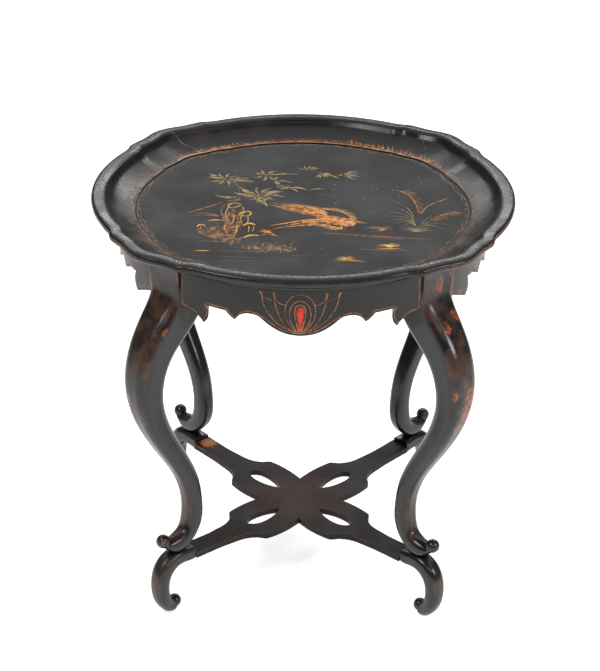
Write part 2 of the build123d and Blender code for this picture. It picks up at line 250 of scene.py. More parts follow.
def near(tree, centre, inside, outside):
    """1 within a distance of a point, falling to 0 further out."""
    place = add_node(tree, "TexCoord").outputs["Object"]
    gap = add_node(tree, "VectorMath", operation="DISTANCE")
    tree.links.new(place, gap.inputs[0])
    gap.inputs[1].default_value = centre
    return ramp(tree, gap.outputs["Value"], inside, outside, 1.0, 0.0)


def stretcher_colour(tree):
    """Dark brown, redder at the crossing."""
    return colour_mix(
        tree, near(tree, (0, 0, 0.08), 0.02, 0.11), (0.017, 0.013, 0.012), (0.045, 0.015, 0.011),
    )


def stretcher_wear(tree):
    """Rubbed along the edges, and bare at the back left end."""
    edge = use_group(tree, edge_rub, {"Width": 0.0035}).outputs["Edge"]
    bare_end = near(tree, (-0.152, 0.158, 0.088), 0.004, 0.034)
    front_end = near(tree, (-0.160, -0.160, 0.088), 0.005, 0.040)
    worn = maths(tree, "ADD", maths(tree, "MULTIPLY", edge, 0.55), maths(tree, "MULTIPLY", bare_end, 0.72))
    return maths(tree, "ADD", worn, maths(tree, "MULTIPLY", front_end, 0.35))


def stretcher_undercoat(tree):
    """Grey-brown wood on the edges, and fresh orange wood at the bare end."""
    bare_end = near(tree, (-0.150, 0.160, 0.088), 0.02, 0.055)
    return colour_mix(tree, bare_end, (0.105, 0.085, 0.070), (0.40, 0.17, 0.065))


stretcher_finish = lacquer_finish(
    "stretcher_lacquer", stretcher_colour, stretcher_undercoat, stretcher_wear, 0.13, 0.0005, 0.10,
)
dress(["stretcher_lower", "stretcher_upper"], stretcher_finish)

# ---- feet and legs ---------------------------------------------------------------------------
# Carved and lacquered wood. The corners of the legs and the tips of the curls and feet are rubbed
# brown, and scraps of painted red-orange leaves are left on the outer faces.


def worn_corners(tree):
    """1 on the rounded corners of a leg, from how its surface faces around the leg's diagonal."""
    point = add_node(tree, "TexCoord")
    flat = add_node(tree, "VectorMath", operation="MULTIPLY")
    tree.links.new(point.outputs["Object"], flat.inputs[0])
    flat.inputs[1].default_value = (1, 1, 0)
    outward = add_node(tree, "VectorMath", operation="NORMALIZE")
    tree.links.new(flat.outputs["Vector"], outward.inputs[0])
    across = add_node(tree, "VectorMath", operation="CROSS_PRODUCT")
    tree.links.new(outward.outputs["Vector"], across.inputs[0])
    tree.links.new(point.outputs["Normal"], across.inputs[1])
    upright = add_node(tree, "SeparateXYZ", {"Vector": across.outputs["Vector"]}).outputs["Z"]
    turned = maths(tree, "ABSOLUTE", upright)
    return maths(tree, "MULTIPLY", ramp(tree, turned, 0.45, 0.66), ramp(tree, turned, 0.80, 0.96, 1.0, 0.0))


def leg_wear(tree):
    """The corners, the sharp edges and the tips of the curls and feet."""
    corner = maths(tree, "MULTIPLY", worn_corners(tree), 0.30)
    edge = maths(tree, "MULTIPLY", use_group(tree, edge_rub, {"Width": 0.003}).outputs["Edge"], 0.45)
    worn = maths(tree, "ADD", corner, edge)
    for x, y in ((-1, -1), (1, -1), (1, 1), (-1, 1)):
        foot_tip = near(tree, (x * 0.184, y * 0.184, 0.010), 0.004, 0.016)
        curl_tip = near(tree, (x * 0.204, y * 0.204, 0.131), 0.004, 0.014)
        tips = maths(
            tree, "ADD", maths(tree, "MULTIPLY", foot_tip, 0.42),
            maths(tree, "MULTIPLY", curl_tip, 0.34),
        )
        worn = maths(tree, "ADD", worn, tips)
    return worn


def leg_colour(tree):
    """Black, brown in patches on the outer face, with scraps of red-orange leaf painting."""
    point = add_node(tree, "TexCoord")
    place = point.outputs["Object"]
    outer = add_node(tree, "VectorMath", operation="DOT_PRODUCT")
    tree.links.new(place, outer.inputs[0])
    tree.links.new(point.outputs["Normal"], outer.inputs[1])
    outward = ramp(tree, outer.outputs["Value"], 0.10, 0.24)
    patches = maths(tree, "MULTIPLY", ramp(tree, noise(tree, place, 26, 5, 0.6), 0.42, 0.60), outward)
    colour = colour_mix(
        tree, maths(tree, "MULTIPLY", patches, 0.85), (0.0070, 0.0066, 0.0064), (0.070, 0.031, 0.020),
    )
    spread = add_node(
        tree, "Mapping", {"Vector": place, "Rotation": (0.35, 0.25, 0), "Scale": (1.0, 1.0, 0.5)},
    )
    shift = add_node(tree, "VectorMath", {"Scale": 0.016}, operation="SCALE")
    tree.links.new(noise(tree, place, 70, 3), shift.inputs[0])
    moved = add_node(tree, "VectorMath", operation="ADD")
    tree.links.new(spread.outputs["Vector"], moved.inputs[0])
    tree.links.new(shift.outputs["Vector"], moved.inputs[1])
    leaf_cell = add_node(tree, "TexVoronoi", {"Vector": moved.outputs["Vector"], "Scale": 40})
    chosen = add_node(tree, "SeparateColor", {"Color": leaf_cell.outputs["Color"]}).outputs["Red"]
    mark = maths(
        tree, "MULTIPLY", ramp(tree, leaf_cell.outputs["Distance"], 0.28, 0.40, 1.0, 0.0),
        ramp(tree, chosen, 0.34, 0.36),
    )
    height = add_node(tree, "SeparateXYZ", {"Vector": place}).outputs["Z"]
    zone = maths(tree, "MULTIPLY", ramp(tree, height, 0.27, 0.33), ramp(tree, height, 0.55, 0.575, 1.0, 0.0))
    mark = maths(tree, "MULTIPLY", maths(tree, "MULTIPLY", mark, zone), outward)
    rubbed = ramp(tree, noise(tree, place, 150, 4), 0.40, 0.62, 0.85, 0.15)
    return colour_mix(tree, maths(tree, "MULTIPLY", mark, rubbed), colour, (0.38, 0.092, 0.026))


corner_names = ["front_left", "front_right", "back_right", "back_left"]
leg_finish = lacquer_finish("leg_lacquer", leg_colour, (0.125, 0.066, 0.040), leg_wear, 0.45, 0.0003, -0.07)
dress(["leg_" + c for c in corner_names] + ["foot_" + c for c in corner_names], leg_finish)

# ---- aprons ----------------------------------------------------------------------------------
# Curved boards, fretted below and lacquered black, with an orange-gilt line along the fret and
# beside the legs, and a gilt lotus with a red heart on the drop in the middle of each.


def apron_wear(tree):
    """Rubbed on its edges."""
    edge = use_group(tree, edge_rub, {"Width": 0.0025}).outputs["Edge"]
    return maths(tree, "MULTIPLY", edge, 0.50)


apron_finish = lacquer_finish(
    "apron_lacquer", (0.0085, 0.0080, 0.0078), (0.12, 0.072, 0.048), apron_wear, 0.36,
)
side_turns = {"front": 0, "right": 90, "back": 180, "left": 270}
dress(["apron_" + side for side in side_turns], apron_finish)

MM = 0.001                  # the painting's places are in millimetres


def skin(names):
    """The surface of some CAD pieces, for paint to be laid on."""
    points, faces = [], []
    for name in names:
        mesh = nodes[name].data
        start = len(points)
        points += [v.co.copy() for v in mesh.vertices]
        faces += [[start + i for i in p.vertices] for p in mesh.polygons]
    return BVHTree.FromPolygons(points, faces)


def brush(name, strokes, material, body, start_of, surface, relief=0.10):
    """Raised brush strokes on a surface. A stroke is a smooth line of (across, up, half width)
    in millimetres. start_of turns across and up into a point off the surface and a direction
    towards it."""
    curve = bpy.data.curves.new(name, "CURVE")
    curve.dimensions = "3D"
    curve.bevel_depth = MM
    curve.bevel_resolution = 1
    curve.resolution_u = 4
    curve.use_fill_caps = True
    for points in strokes:
        line = curve.splines.new("BEZIER")
        line.bezier_points.add(len(points) - 1)
        for knot, (across, up, half) in zip(line.bezier_points, points):
            knot.handle_left_type = "AUTO"
            knot.handle_right_type = "AUTO"
            knot.co = (across * MM, up * MM, 0)
            knot.radius = half
    piece = bpy.data.objects.new(name, curve)
    bpy.context.scene.collection.objects.link(piece)
    bpy.ops.object.select_all(action="DESELECT")
    piece.select_set(True)
    bpy.context.view_layer.objects.active = piece
    bpy.ops.object.convert(target="MESH")
    piece = bpy.context.object
    for v in piece.data.vertices:
        origin, direction = start_of(v.co.x, v.co.y)
        hit, normal, _, _ = surface.ray_cast(origin, direction)
        if hit is None:
            hit, normal, _, _ = surface.find_nearest(origin)
        if normal.dot(direction) > 0:
            normal = -normal
        v.co = hit + normal * (v.co.z * relief)
    piece.data.materials.clear()
    piece.data.materials.append(material)
    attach(piece, body)
    return piece


def paint_finish(name, bright, dull, gloss=0.38, metal=0.0, fade=(0.42, 0.62)):
    """Old brushwork: bright where the paint is whole, dull where it has worn thin."""
    material = bpy.data.materials.new(name)
    material.use_nodes = True
    tree = material.node_tree
    shader = tree.nodes["Principled BSDF"]
    place = add_node(tree, "TexCoord").outputs["Object"]
    thin = ramp(tree, noise(tree, place, 120, 5, 0.6), *fade)
    hair = noise(tree, place, 1100, 2)
    tree.links.new(colour_mix(tree, thin, bright, dull), shader.inputs["Base Color"])
    tree.links.new(ramp(tree, thin, 0, 1, gloss, gloss + 0.2), shader.inputs["Roughness"])
    if metal:
        tree.links.new(ramp(tree, thin, 0, 1, metal, 0.0), shader.inputs["Metallic"])
    shader.inputs["Specular IOR Level"].default_value = 0.2
    relief = add_node(tree, "Bump", {"Height": hair, "Strength": 0.25})
    relief.inputs["Distance"].default_value = 0.0002
    tree.links.new(relief.outputs["Normal"], shader.inputs["Normal"])
    return material


line_orange = paint_finish("line_orange", (0.40, 0.15, 0.055), (0.12, 0.055, 0.030))
heart_red = paint_finish("heart_red", (0.62, 0.050, 0.018), (0.34, 0.030, 0.015))
apron_skin = skin(["apron_front"])
apron_radius = 270.0        # the aprons' outer faces, in millimetres


def onto_apron(across, up):
    """From outside the front apron, straight in towards the middle of the table."""
    turn = across / (apron_radius * MM)
    out = Vector((sin(turn), -cos(turn), 0))
    return out * 0.30 + Vector((0, 0, up)), -out


def arc_length(x):
    """Along the apron's face, from a distance sideways on its outline."""
    return apron_radius * atan2(x, (apron_radius**2 - x**2) ** 0.5)


def mirrored(strokes):
    """The strokes and their mirror images."""
    return strokes + [[(-across, up, half) for across, up, half in points] for points in strokes]


line = 0.62                 # half width of a drawn line
lotus = mirrored(
    [
        [(54, 573, 1.0), (50, 553, line), (39, 535, line), (27, 523.6, line), (8, 514.5, line)],
        [(56, 574, 1.0), (52, 566.5, line), (39, 561.5, line)],
        [(36.5, 573.4, 1.7), (35, 560, line), (31, 543.8, line), (19, 522, line), (6, 514.5, line)],
        [(37, 573, 0.8), (32, 561, line), (27, 557, line), (20, 555.5, line)],
        [
            (0, 571.4, line), (9, 569.5, line), (17, 561.5, line), (21, 548, line), (18, 532, line),
            (7, 517, line), (1, 513, line),
        ],
        [(0, 562.7, line), (9, 558, line), (14.5, 545, line), (12.5, 529, line), (5, 517, line)],
        [(0, 556.5, 0.8), (5.5, 553.5, 0.8), (7.6, 545, 0.8), (6.2, 534, 0.7), (1.4, 515, 1.2)],
    ]
)
heart = [[(0, 552.5, 3.6), (0, 547, 6.0), (0, 540, 5.2), (0, 530, 3.0), (0, 517, 1.3)]]
fret_line = [
    [(0, 512.4), (17, 514.6), (31, 520.6), (49, 533.2), (68, 540.8), (80, 538.4), (87.5, 530.0)],
    [(90.5, 528.4), (96.0, 532.6), (101.0, 539.4)],
    [(101.5, 539.6), (116, 540.2), (131, 540.6)],
    [(132.6, 539.4), (129.8, 525), (135.2, 513.6)],
    [(136.4, 514.0), (146, 523.0), (160, 527.2), (172.5, 527.0)],
]
fret_line = [[(arc_length(x), z, 0.70) for x, z in part] for part in fret_line]
joint_line = [[(176.5, 528, 0.7), (177, 550, 0.7), (176.5, 574, 0.7)]]
apron_paint = lotus + mirrored(fret_line + joint_line)
for side, turn in side_turns.items():
    lines = brush(
        "lotus_lines_" + side, apron_paint, line_orange, "stand", onto_apron,
        apron_skin,
    )
    red = brush("lotus_heart_" + side, heart, heart_red, "stand", onto_apron, apron_skin)
    for piece in (lines, red):
        piece.data.transform(Matrix.Rotation(radians(turn), 4, "Z"))

# ---- hidden joinery --------------------------------------------------------------------------
# Glue blocks, dowels, tongues and battens of plain softwood, gone brown with age, and six brass
# screws. They are seen only from below or with the tray lifted.


def make_raw_wood():
    """Bare wood with its grain along Y, as the battens run."""
    material = bpy.data.materials.new("raw_wood")
    material.use_nodes = True
    tree = material.node_tree
    shader = tree.nodes["Principled BSDF"]
    place = add_node(tree, "TexCoord").outputs["Object"]
    long_grain = add_node(tree, "Mapping", {"Vector": place, "Scale": (1.0, 0.06, 1.0)}).outputs["Vector"]
    rings = noise(tree, long_grain, 130, 5, 0.6)
    pores = noise(tree, long_grain, 900, 3)
    stain = noise(tree, place, 14, 4)
    colour = colour_mix(tree, ramp(tree, rings, 0.35, 0.65), (0.20, 0.105, 0.050), (0.34, 0.20, 0.105))
    colour = colour_mix(tree, ramp(tree, stain, 0.45, 0.75, 0.0, 0.7), colour, (0.075, 0.040, 0.022))
    tree.links.new(colour, shader.inputs["Base Color"])
    tree.links.new(ramp(tree, rings, 0.3, 0.7, 0.62, 0.78), shader.inputs["Roughness"])
    relief = add_node(tree, "Bump", {"Height": pores, "Strength": 0.4})
    relief.inputs["Distance"].default_value = 0.0005
    tree.links.new(relief.outputs["Normal"], shader.inputs["Normal"])
    return material


raw_wood = make_raw_wood()
hidden = ["batten_left", "batten_right"]
for c in corner_names:
    hidden += ["dowel_" + c, "rim_tongue_" + c, "glue_block_" + c + "_a", "glue_block_" + c + "_b"]
dress(hidden, raw_wood)
screw_brass = paint_finish("screw_brass", (0.45, 0.30, 0.11), (0.16, 0.10, 0.045), 0.36, 0.95)
dress(["batten_screws"], screw_brass)

# ---- tray floor and rim ----------------------------------------------------------------------
# A board in a moulded rim of four segments, lacquered black. The roll of the lip is rubbed brown
# along its outside.


def around(tree):
    """Distance from the middle of the tray, and the height."""
    place = add_node(tree, "TexCoord").outputs["Object"]
    split = add_node(tree, "SeparateXYZ", {"Vector": place})
    flat = add_node(tree, "CombineXYZ", {"X": split.outputs["X"], "Y": split.outputs["Y"]})
    size = add_node(tree, "VectorMath", operation="LENGTH")
    tree.links.new(flat.outputs["Vector"], size.inputs[0])
    return size.outputs["Value"], split


def rim_wear(tree):
    """A rubbed band on the outside of the lip, heaviest at the right and at the front left."""
    radius, split = around(tree)
    facing = add_node(tree, "SeparateXYZ", {"Vector": add_node(tree, "TexCoord").outputs["Normal"]})
    brow = maths(
        tree, "MULTIPLY", ramp(tree, radius, 0.298, 0.305),
        ramp(tree, split.outputs["Z"], 0.597, 0.603),
    )
    up = ramp(tree, facing.outputs["Z"], 0.30, 0.75)
    band = maths(tree, "MULTIPLY", brow, maths(tree, "SUBTRACT", 1.0, maths(tree, "MULTIPLY", up, 0.55)))
    right = near(tree, (0.27, -0.17, 0.60), 0.03, 0.17)
    left = near(tree, (-0.27, -0.17, 0.60), 0.02, 0.12)
    amount = maths(tree, "ADD", 0.38, maths(tree, "MULTIPLY", right, 0.40))
    amount = maths(tree, "ADD", amount, maths(tree, "MULTIPLY", left, 0.34))
    return maths(tree, "MULTIPLY", band, amount)


floor_black = (0.0135, 0.0142, 0.0150)
floor_undercoat = (0.06, 0.045, 0.035)
floor_finish = lacquer_finish("tray_floor_lacquer", floor_black, floor_undercoat, -0.12, 0.10, 0.0003, 0.10)
rim_black, rim_brown = (0.0085, 0.0078, 0.0074), (0.085, 0.045, 0.028)
rim_finish = lacquer_finish("rim_lacquer", rim_black, rim_brown, rim_wear, 0.30, 0.00005, -0.06)
rim_names = ["rim_right", "rim_back", "rim_left", "rim_front"]
dress(["tray_floor"], floor_finish)
dress(rim_names, rim_finish)

# ---- painted border --------------------------------------------------------------------------
# A line in the crease between floor and cove, brighter at the back than at the sides, with a
# wavering double line inside it and a fringe of feather strokes up the foot of the cove. The
# cracks over the two joints at the back are drawn here too.
tray_skin = skin(["tray_floor"] + rim_names)


def onto_tray(across, up):
    """From above the tray, straight down."""
    return Vector((across, up, 0.7)), Vector((0, 0, -1))


floor_radius = 247.0        # the crease, away from the corners
floor_rise = 8.0            # how far the crease stands out at a corner's crown
step_share = 0.44           # the share of that rise in the step beside each crown
corner_angle = 17.0         # half of the angle that a corner takes
shoulder_angle = 12.5       # from the crown to the top of the step
crown_angle = 9.0           # half of the angle of the crown itself


def floor_edge(angle):
    """Radius of the crease, in millimetres: a circle with a step and a crown at each corner."""
    from_crown = 45 - abs((angle + 45) % 90 - 45)
    if from_crown >= corner_angle:
        return floor_radius
    if from_crown > shoulder_angle:
        t = (corner_angle - from_crown) / (corner_angle - shoulder_angle)
        return floor_radius + floor_rise * step_share * t * t * (3 - 2 * t)
    if from_crown > crown_angle:
        return floor_radius + floor_rise * step_share
    crown = (1 + cos(pi * from_crown / crown_angle)) / 2
    return floor_radius + floor_rise * (step_share + (1 - step_share) * crown)


def ring_stroke(inset, half, ripple=0.0, waves=40, start=0, end=360, step=2):
    """A line that follows the crease at an inset from it, and may waver."""
    points = []
    for n in range(int((end - start) / step) + 1):
        angle = start + n * step
        wobble = sin(radians(angle * waves)) + 0.6 * sin(radians(angle * waves * 0.37 + 50))
        radius = floor_edge(angle) - inset + ripple * wobble
        points.append((radius * cos(radians(angle)), radius * sin(radians(angle)), half))
    return points


crease_gilt = paint_finish("crease_gilt", (0.55, 0.26, 0.13), (0.20, 0.095, 0.055), 0.34, 0.0, (0.45, 0.68))
border_brown = paint_finish(
    "border_brown", (0.26, 0.155, 0.080), (0.075, 0.050, 0.034), 0.4, 0.0, (0.36, 0.60),
)
feather_gilt = paint_finish(
    "feather_gilt", (0.52, 0.20, 0.045), (0.15, 0.060, 0.025), 0.36, 0.0, (0.38, 0.60),
)
feather_dull = paint_finish(
    "feather_dull", (0.24, 0.100, 0.045), (0.070, 0.038, 0.024), 0.42, 0.0, (0.38, 0.60),
)


def on_tray(name, strokes, material, relief=0.10):
    """Brush strokes that lie on the tray and lift with it."""
    return brush(name, strokes, material, "tray", onto_tray, tray_skin, relief)


# The crease line at the sides has a dimmer colour than at the back.
crease_sides_dim = paint_finish(
    "crease_sides_dim", (0.20, 0.115, 0.075), (0.075, 0.045, 0.034), 0.38, 0.0, (0.40, 0.62),
)
on_tray("crease_back", [ring_stroke(-1.9, 1.15, start=42, end=140)], crease_gilt, 0.3)
on_tray("crease_sides", [ring_stroke(-1.9, 1.0, start=141, end=401)], crease_sides_dim, 0.3)
on_tray("border_outer", [ring_stroke(4.5, 0.75, 0.25, 33, step=1.5)], border_brown)
on_tray("border_inner", [ring_stroke(8.5, 0.70, 1.25, 38, step=1.5)], border_brown)


def on_rim(points, half):
    """A stroke through points given as a distance from the middle and an angle."""
    return [(r * cos(radians(a)), r * sin(radians(a)), half) for r, a in points]


crack_pale = paint_finish("crack_pale", (0.30, 0.24, 0.18), (0.10, 0.075, 0.055), 0.6)
back_left_crack = [(320, 134.6), (308, 133.8), (298, 132.2), (286, 131.8), (272, 130.2), (258, 128.8)]
back_right_crack = [(321, 56.5), (309, 54.6), (297, 52.0), (286, 49.6), (276, 47.0), (264, 45.8)]
on_tray("joint_crack_back_left", [on_rim(back_left_crack, 0.5)], crack_pale, 0.15)
on_tray("joint_crack_back_right", [on_rim(back_right_crack, 0.35)], border_brown, 0.15)

chance = random.Random(7)


def feathers(start, end, step, length, half):
    """Short strokes that stand on the crease and lean to one side as they climb the cove."""
    strokes = []
    angle = start
    while angle < end:
        foot = floor_edge(angle) + 2.0
        size = length * chance.uniform(0.65, 1.15)
        lean = chance.uniform(0.5, 2.2)
        points = []
        for climb, width in ((0, half), (0.5, half * 1.1), (1, 0.15)):
            a = radians(angle + lean * climb * climb)
            r = foot + size * climb
            points.append((r * cos(a), r * sin(a), width))
        strokes.append(points)
        angle += step * chance.uniform(0.7, 1.3)
    return strokes


bold_feathers = feathers(36, 74, 1.9, 14, 1.3) + feathers(112, 131, 1.9, 12, 1.3)
on_tray("feathers_back", feathers(36, 137, 0.85, 8.5, 0.75) + bold_feathers, feather_gilt, 0.25)
rest_of_fringe = feathers(136, 235, 0.9, 14, 0.6) + feathers(305, 396, 0.9, 12, 0.6)
on_tray("feathers_sides", rest_of_fringe + feathers(236, 304, 1.3, 7.0, 0.5), feather_dull, 0.25)

# ---- painted scene ---------------------------------------------------------------------------
# Raised gilding and colours on the floor: a long-tailed bird on a bank, a ragged rock with
# toadstools, flowering sprays over it, reeds at the right and pale specks. Places are in
# millimetres from the middle of the tray.
gold = paint_finish("gold", (0.80, 0.43, 0.070), (0.36, 0.170, 0.032), 0.34, 0.15, (0.44, 0.68))
orange = paint_finish("orange_gilt", (0.66, 0.255, 0.036), (0.22, 0.070, 0.018), 0.36, 0.1, (0.44, 0.60))
sage = paint_finish("sage_gilt", (0.38, 0.27, 0.10), (0.115, 0.085, 0.045), 0.42, 0.0, (0.40, 0.64))
umber = paint_finish("umber", (0.26, 0.115, 0.036), (0.085, 0.042, 0.022), 0.45, 0.0, (0.40, 0.60))
rose = paint_finish("rose_brown", (0.27, 0.120, 0.058), (0.10, 0.052, 0.034), 0.45, 0.0, (0.40, 0.62))


def leaf(x, y, angle, length, half, bend=0.12):
    """One leaf-shaped stroke from its stalk to its tip."""
    a = radians(angle)
    tip = (x + length * cos(a), y + length * sin(a))
    middle = (
        x + 0.45 * length * cos(a) - bend * length * sin(a),
        y + 0.45 * length * sin(a) + bend * length * cos(a),
    )
    return [(x, y, 0.25), (*middle, half), (*tip, 0.12)]


def blossom(x, y, petals, length, half, start=0, sweep=360):
    """A ring or fan of petals around a point."""
    strokes = []
    for n in range(petals):
        angle = start + sweep * n / petals + chance.uniform(-8, 8)
        gap = 0.22 * length
        foot = (x + gap * cos(radians(angle)), y + gap * sin(radians(angle)))
        strokes.append(leaf(*foot, angle, length * chance.uniform(0.75, 1.1), half))
    return strokes


def fan(x, y, blades, length, low, high, half, droop=0.25):
    """Grass blades that spread from one root, longest in the middle, and arch over."""
    strokes = []
    for n in range(blades):
        angle = low + (high - low) * n / (blades - 1)
        side = 1 if angle > 90 else -1
        size = length * chance.uniform(0.75, 1.1)
        a = radians(angle)
        bent = radians(angle + side * 25)
        middle = (x + 0.55 * size * cos(a), y + 0.55 * size * sin(a))
        tip = (middle[0] + 0.5 * size * cos(bent), middle[1] + (0.5 - droop) * size * sin(bent))
        strokes.append([(x, y, half), (*middle, half), (*tip, 0.12)])
    return strokes


def barbs(path, length, angle, half, count):
    """Short strokes along one side of a plume, all leaning the same way."""
    strokes = []
    for n in range(count):
        share = n / count * (len(path) - 1)
        i = int(share)
        t = share - i
        x = path[i][0] + t * (path[i + 1][0] - path[i][0])
        y = path[i][1] + t * (path[i + 1][1] - path[i][1])
        strokes.append(
            leaf(x, y, angle + chance.uniform(-6, 6), length * chance.uniform(0.8, 1.2), half, 0.05)
        )
    return strokes


tail = [
    (-53, 5, 24, -31), (-46, 11, 30, -29), (-33, 12, 32, -27), (-17, 10, 33, -25), (-3, 7, 34, -24),
    (14, -3, 36, -24),
]
bird_tail = []
for tip_x, tip_y, root_x, root_y in tail:
    middle = ((tip_x + root_x) / 2, (tip_y + root_y) / 2 + 2)
    bird_tail.append([(tip_x, tip_y, 0.15), (*middle, 2.1), (root_x, root_y, 2.0)])
    low = (middle[0] - 3, middle[1] - 5)
    bird_tail.append([(tip_x + 12, tip_y - 7, 0.15), (*low, 1.9), (root_x, root_y - 6, 2.2)])
bird_tail += [
    [(-44, -82, 0.15), (-14, -72, 1.6), (14, -66, 2.6), (40, -66, 3.0)],
    [(20, -40, 1.5), (40, -44, 6.0), (60, -54, 8.0), (76, -62, 4.0)],
    [(26, -66, 2.0), (44, -74, 4.5), (58, -78, 3.0)],
    [(-48, -72, 0.15), (-22, -61, 2.0), (6, -50, 2.4), (30, -46, 2.5)],
    [(-30, -73, 0.15), (-8, -63, 1.8), (12, -56, 2.4), (34, -52, 2.5)],
    [(24, -32, 1.5), (42, -38, 5.0), (62, -47, 7.5), (78, -54, 5.5), (90, -57, 1.2)],
    [(14, -50, 1.5), (38, -56, 5.0), (58, -64, 5.5), (74, -66, 3.0)],
]
on_tray("bird_body", bird_tail, orange, 0.09)
wing_top = [(28, -9), (44, -12), (58, -19), (69, -36), (72, -52)]
bird_gold = [
    [(x, y, 0.9) for x, y in wing_top],
    [(20, -44, 0.7), (36, -50, 1.0), (52, -62, 1.0), (58, -78, 0.5)],
]
bird_gold += barbs(wing_top, 11, 35, 1.0, 13) + barbs([(8, -50), (30, -62), (58, -80)], 15, 205, 0.9, 14)
bird_gold += [
    [(-46, -71, 0.15), (-18, -58, 0.7), (10, -47, 0.6), (38, -46, 0.5)],
    [(66, -47, 2.4), (70, -53, 2.8), (64, -58, 1.8)],
]
bird_gold += [
    [(tip_x, tip_y, 0.12), (tip_x + 22, tip_y - 9, 0.5), (tip_x + 44, tip_y - 19, 0.2)]
    for tip_x, tip_y, _, _ in tail[:5]
]
on_tray("bird_feathers", bird_gold, gold, 0.22)
on_tray(
    "bird_legs",
    [
        [(64, -58, 0.8), (62, -76, 0.7), (58, -88, 0.9)],
        [(90, -56, 1.6), (95, -58, 0.7), (99, -60, 0.15)],
    ],
    rose, 0.3,
)


def daubs(path, spread, count, length, half):
    """Ragged upright dabs of the brush, scattered along a path."""
    strokes = []
    for _ in range(count):
        share = chance.uniform(0, len(path) - 1.001)
        i = int(share)
        t = share - i
        x = path[i][0] + t * (path[i + 1][0] - path[i][0]) + chance.uniform(-spread, spread)
        y = path[i][1] + t * (path[i + 1][1] - path[i][1]) + chance.uniform(-spread, spread) / 2
        size = length * chance.uniform(0.6, 1.2)
        strokes.append(leaf(x, y - size / 2, chance.uniform(68, 118), size, half * chance.uniform(0.5, 1.2)))
    return strokes


rock = daubs([(-98, -10), (-99, -60), (-101, -130)], 11, 64, 32, 2.9)
rock += daubs([(-134, -86), (-126, -104), (-112, -112)], 10, 34, 26, 3.2)
on_tray("rock", rock, umber, 0.04)
mound = daubs([(-84, -146), (-58, -150), (-30, -146), (-8, -150)], 9, 44, 15, 2.2)
on_tray("mound", mound, rose, 0.05)
rock_edge = [
    [(-109, -6, 0.5), (-113, -30, 0.9), (-108, -56, 0.3), (-112, -84, 0.7), (-106, -104, 0.2)],
    [(-89, -4, 0.5), (-86, -24, 0.3), (-90, -45, 0.8), (-87, -66, 0.2)],
    [(-104, -20, 0.2), (-100, -48, 1.1), (-103, -72, 0.3)],
    [(-96, -60, 0.2), (-94, -88, 1.0), (-98, -112, 0.2)],
    [(-92, 5, 0.9), (-102, 8, 1.0), (-109, 1, 1.3), (-108, -8, 0.9), (-98, -6, 1.2), (-91, 3, 0.9)],
    [(-94, -34, 1.3), (-86, -24, 1.9), (-79, -22, 1.5), (-77, -34, 1.2), (-84, -38, 0.9), (-93, -36, 0.6)],
    [(-80, -38, 0.5), (-79, -55, 0.6), (-82, -72, 0.3)],
    [(-86, -72, 1.4), (-76, -64, 2.6), (-68, -70, 1.6)],
    [(-77, -74, 0.6), (-77, -94, 0.7)],
    [(-70, -76, 0.5), (-71, -92, 0.5)],
    [(-83, -114, 1.0), (-74, -106, 2.8), (-62, -106, 1.2)],
    [(-152, -78, 0.8), (-146, -71, 2.0), (-140, -76, 0.9)],
    [(-146, -78, 0.5), (-145, -96, 0.6)],
]
on_tray("rock_gilding", rock_edge, gold, 0.2)
on_tray(
    "rock_leaves",
    [
        [(-57, -84, 0.2), (-46, -96, 3.0), (-36, -108, 0.2)],
        [(-60, -104, 0.2), (-45, -102, 2.2), (-32, -108, 0.2)],
    ] + fan(-52, -98, 4, 16, 60, 130, 1.0),
    orange, 0.12,
)
yellow_leaves = [
    [(-137, -57, 0.3), (-126, -54, 2.5), (-114, -56, 0.4)],
    [(-153, -161, 0.15), (-142, -160.5, 1.6), (-130, -160, 0.7)],
]
on_tray("yellow_leaves", yellow_leaves, gold, 0.15)
speckle = [
    leaf(chance.uniform(-64, -10), chance.uniform(-166, -130), chance.uniform(20, 160), 6, 0.6)
    for _ in range(60)
]
on_tray("mound_gilding", speckle, sage, 0.2)

sprays = blossom(-118, 98, 9, 22, 1.5) + blossom(-59, 116, 7, 19, 1.8) + blossom(-66, 39, 11, 24, 1.6)
sprays += (
    blossom(-26, 74, 5, 13, 1.3, 150, 200)
    + blossom(24, 126, 6, 17, 1.4, 250, 130)
    + blossom(56, 120, 6, 26, 1.2, -50, 100)
)
sprays += blossom(7, 138, 5, 18, 1.1, 20, 160)
sprays += [
    leaf(-126, 108, 150, 24, 2.6), leaf(-122, 104, 178, 26, 2.0), leaf(-108, 92, -6, 34, 3.2),
    leaf(-112, 96, 12, 30, 2.4),
]
sprays += [
    leaf(-45, 96, 60, 16, 2.0), leaf(-44, 94, -15, 28, 2.6), leaf(-44, 92, -75, 20, 3.2),
    leaf(-50, 116, 5, 40, 1.8),
]
sprays += [
    leaf(-98, 30, 170, 34, 3.0), leaf(-94, 24, 200, 20, 1.6), leaf(-72, 44, 135, 34, 3.2),
    leaf(-76, 40, 165, 30, 2.6),
]
sprays += [
    leaf(-56, 42, 25, 30, 3.2), leaf(-58, 38, -8, 30, 2.4), leaf(-74, 24, -52, 36, 3.4),
    leaf(-70, 28, -20, 22, 2.0),
]
sprays += [
    leaf(-22, 70, -18, 30, 2.2), leaf(-20, 66, -50, 18, 1.8), leaf(10, 62, 8, 24, 1.2),
    leaf(28, 122, -32, 30, 2.0),
]
sprays = [[(x, y, half * 1.45) for x, y, half in points] for points in sprays]
on_tray("flowering_sprays", sprays, sage, 0.10)
twigs = [[(-98, 72, 0.5), (-95, 48, 0.7), (-94, 20, 0.5)], [(-118, 98, 0.4), (-98, 72, 0.6), (-66, 39, 0.5)]]
twigs += [
    [(-59, 116, 0.4), (-44, 96, 0.5), (-26, 74, 0.4)],
    [(-59, 116, 0.3), (-26, 121, 0.5), (7, 138, 0.4), (24, 127, 0.4), (56, 120, 0.3)],
]
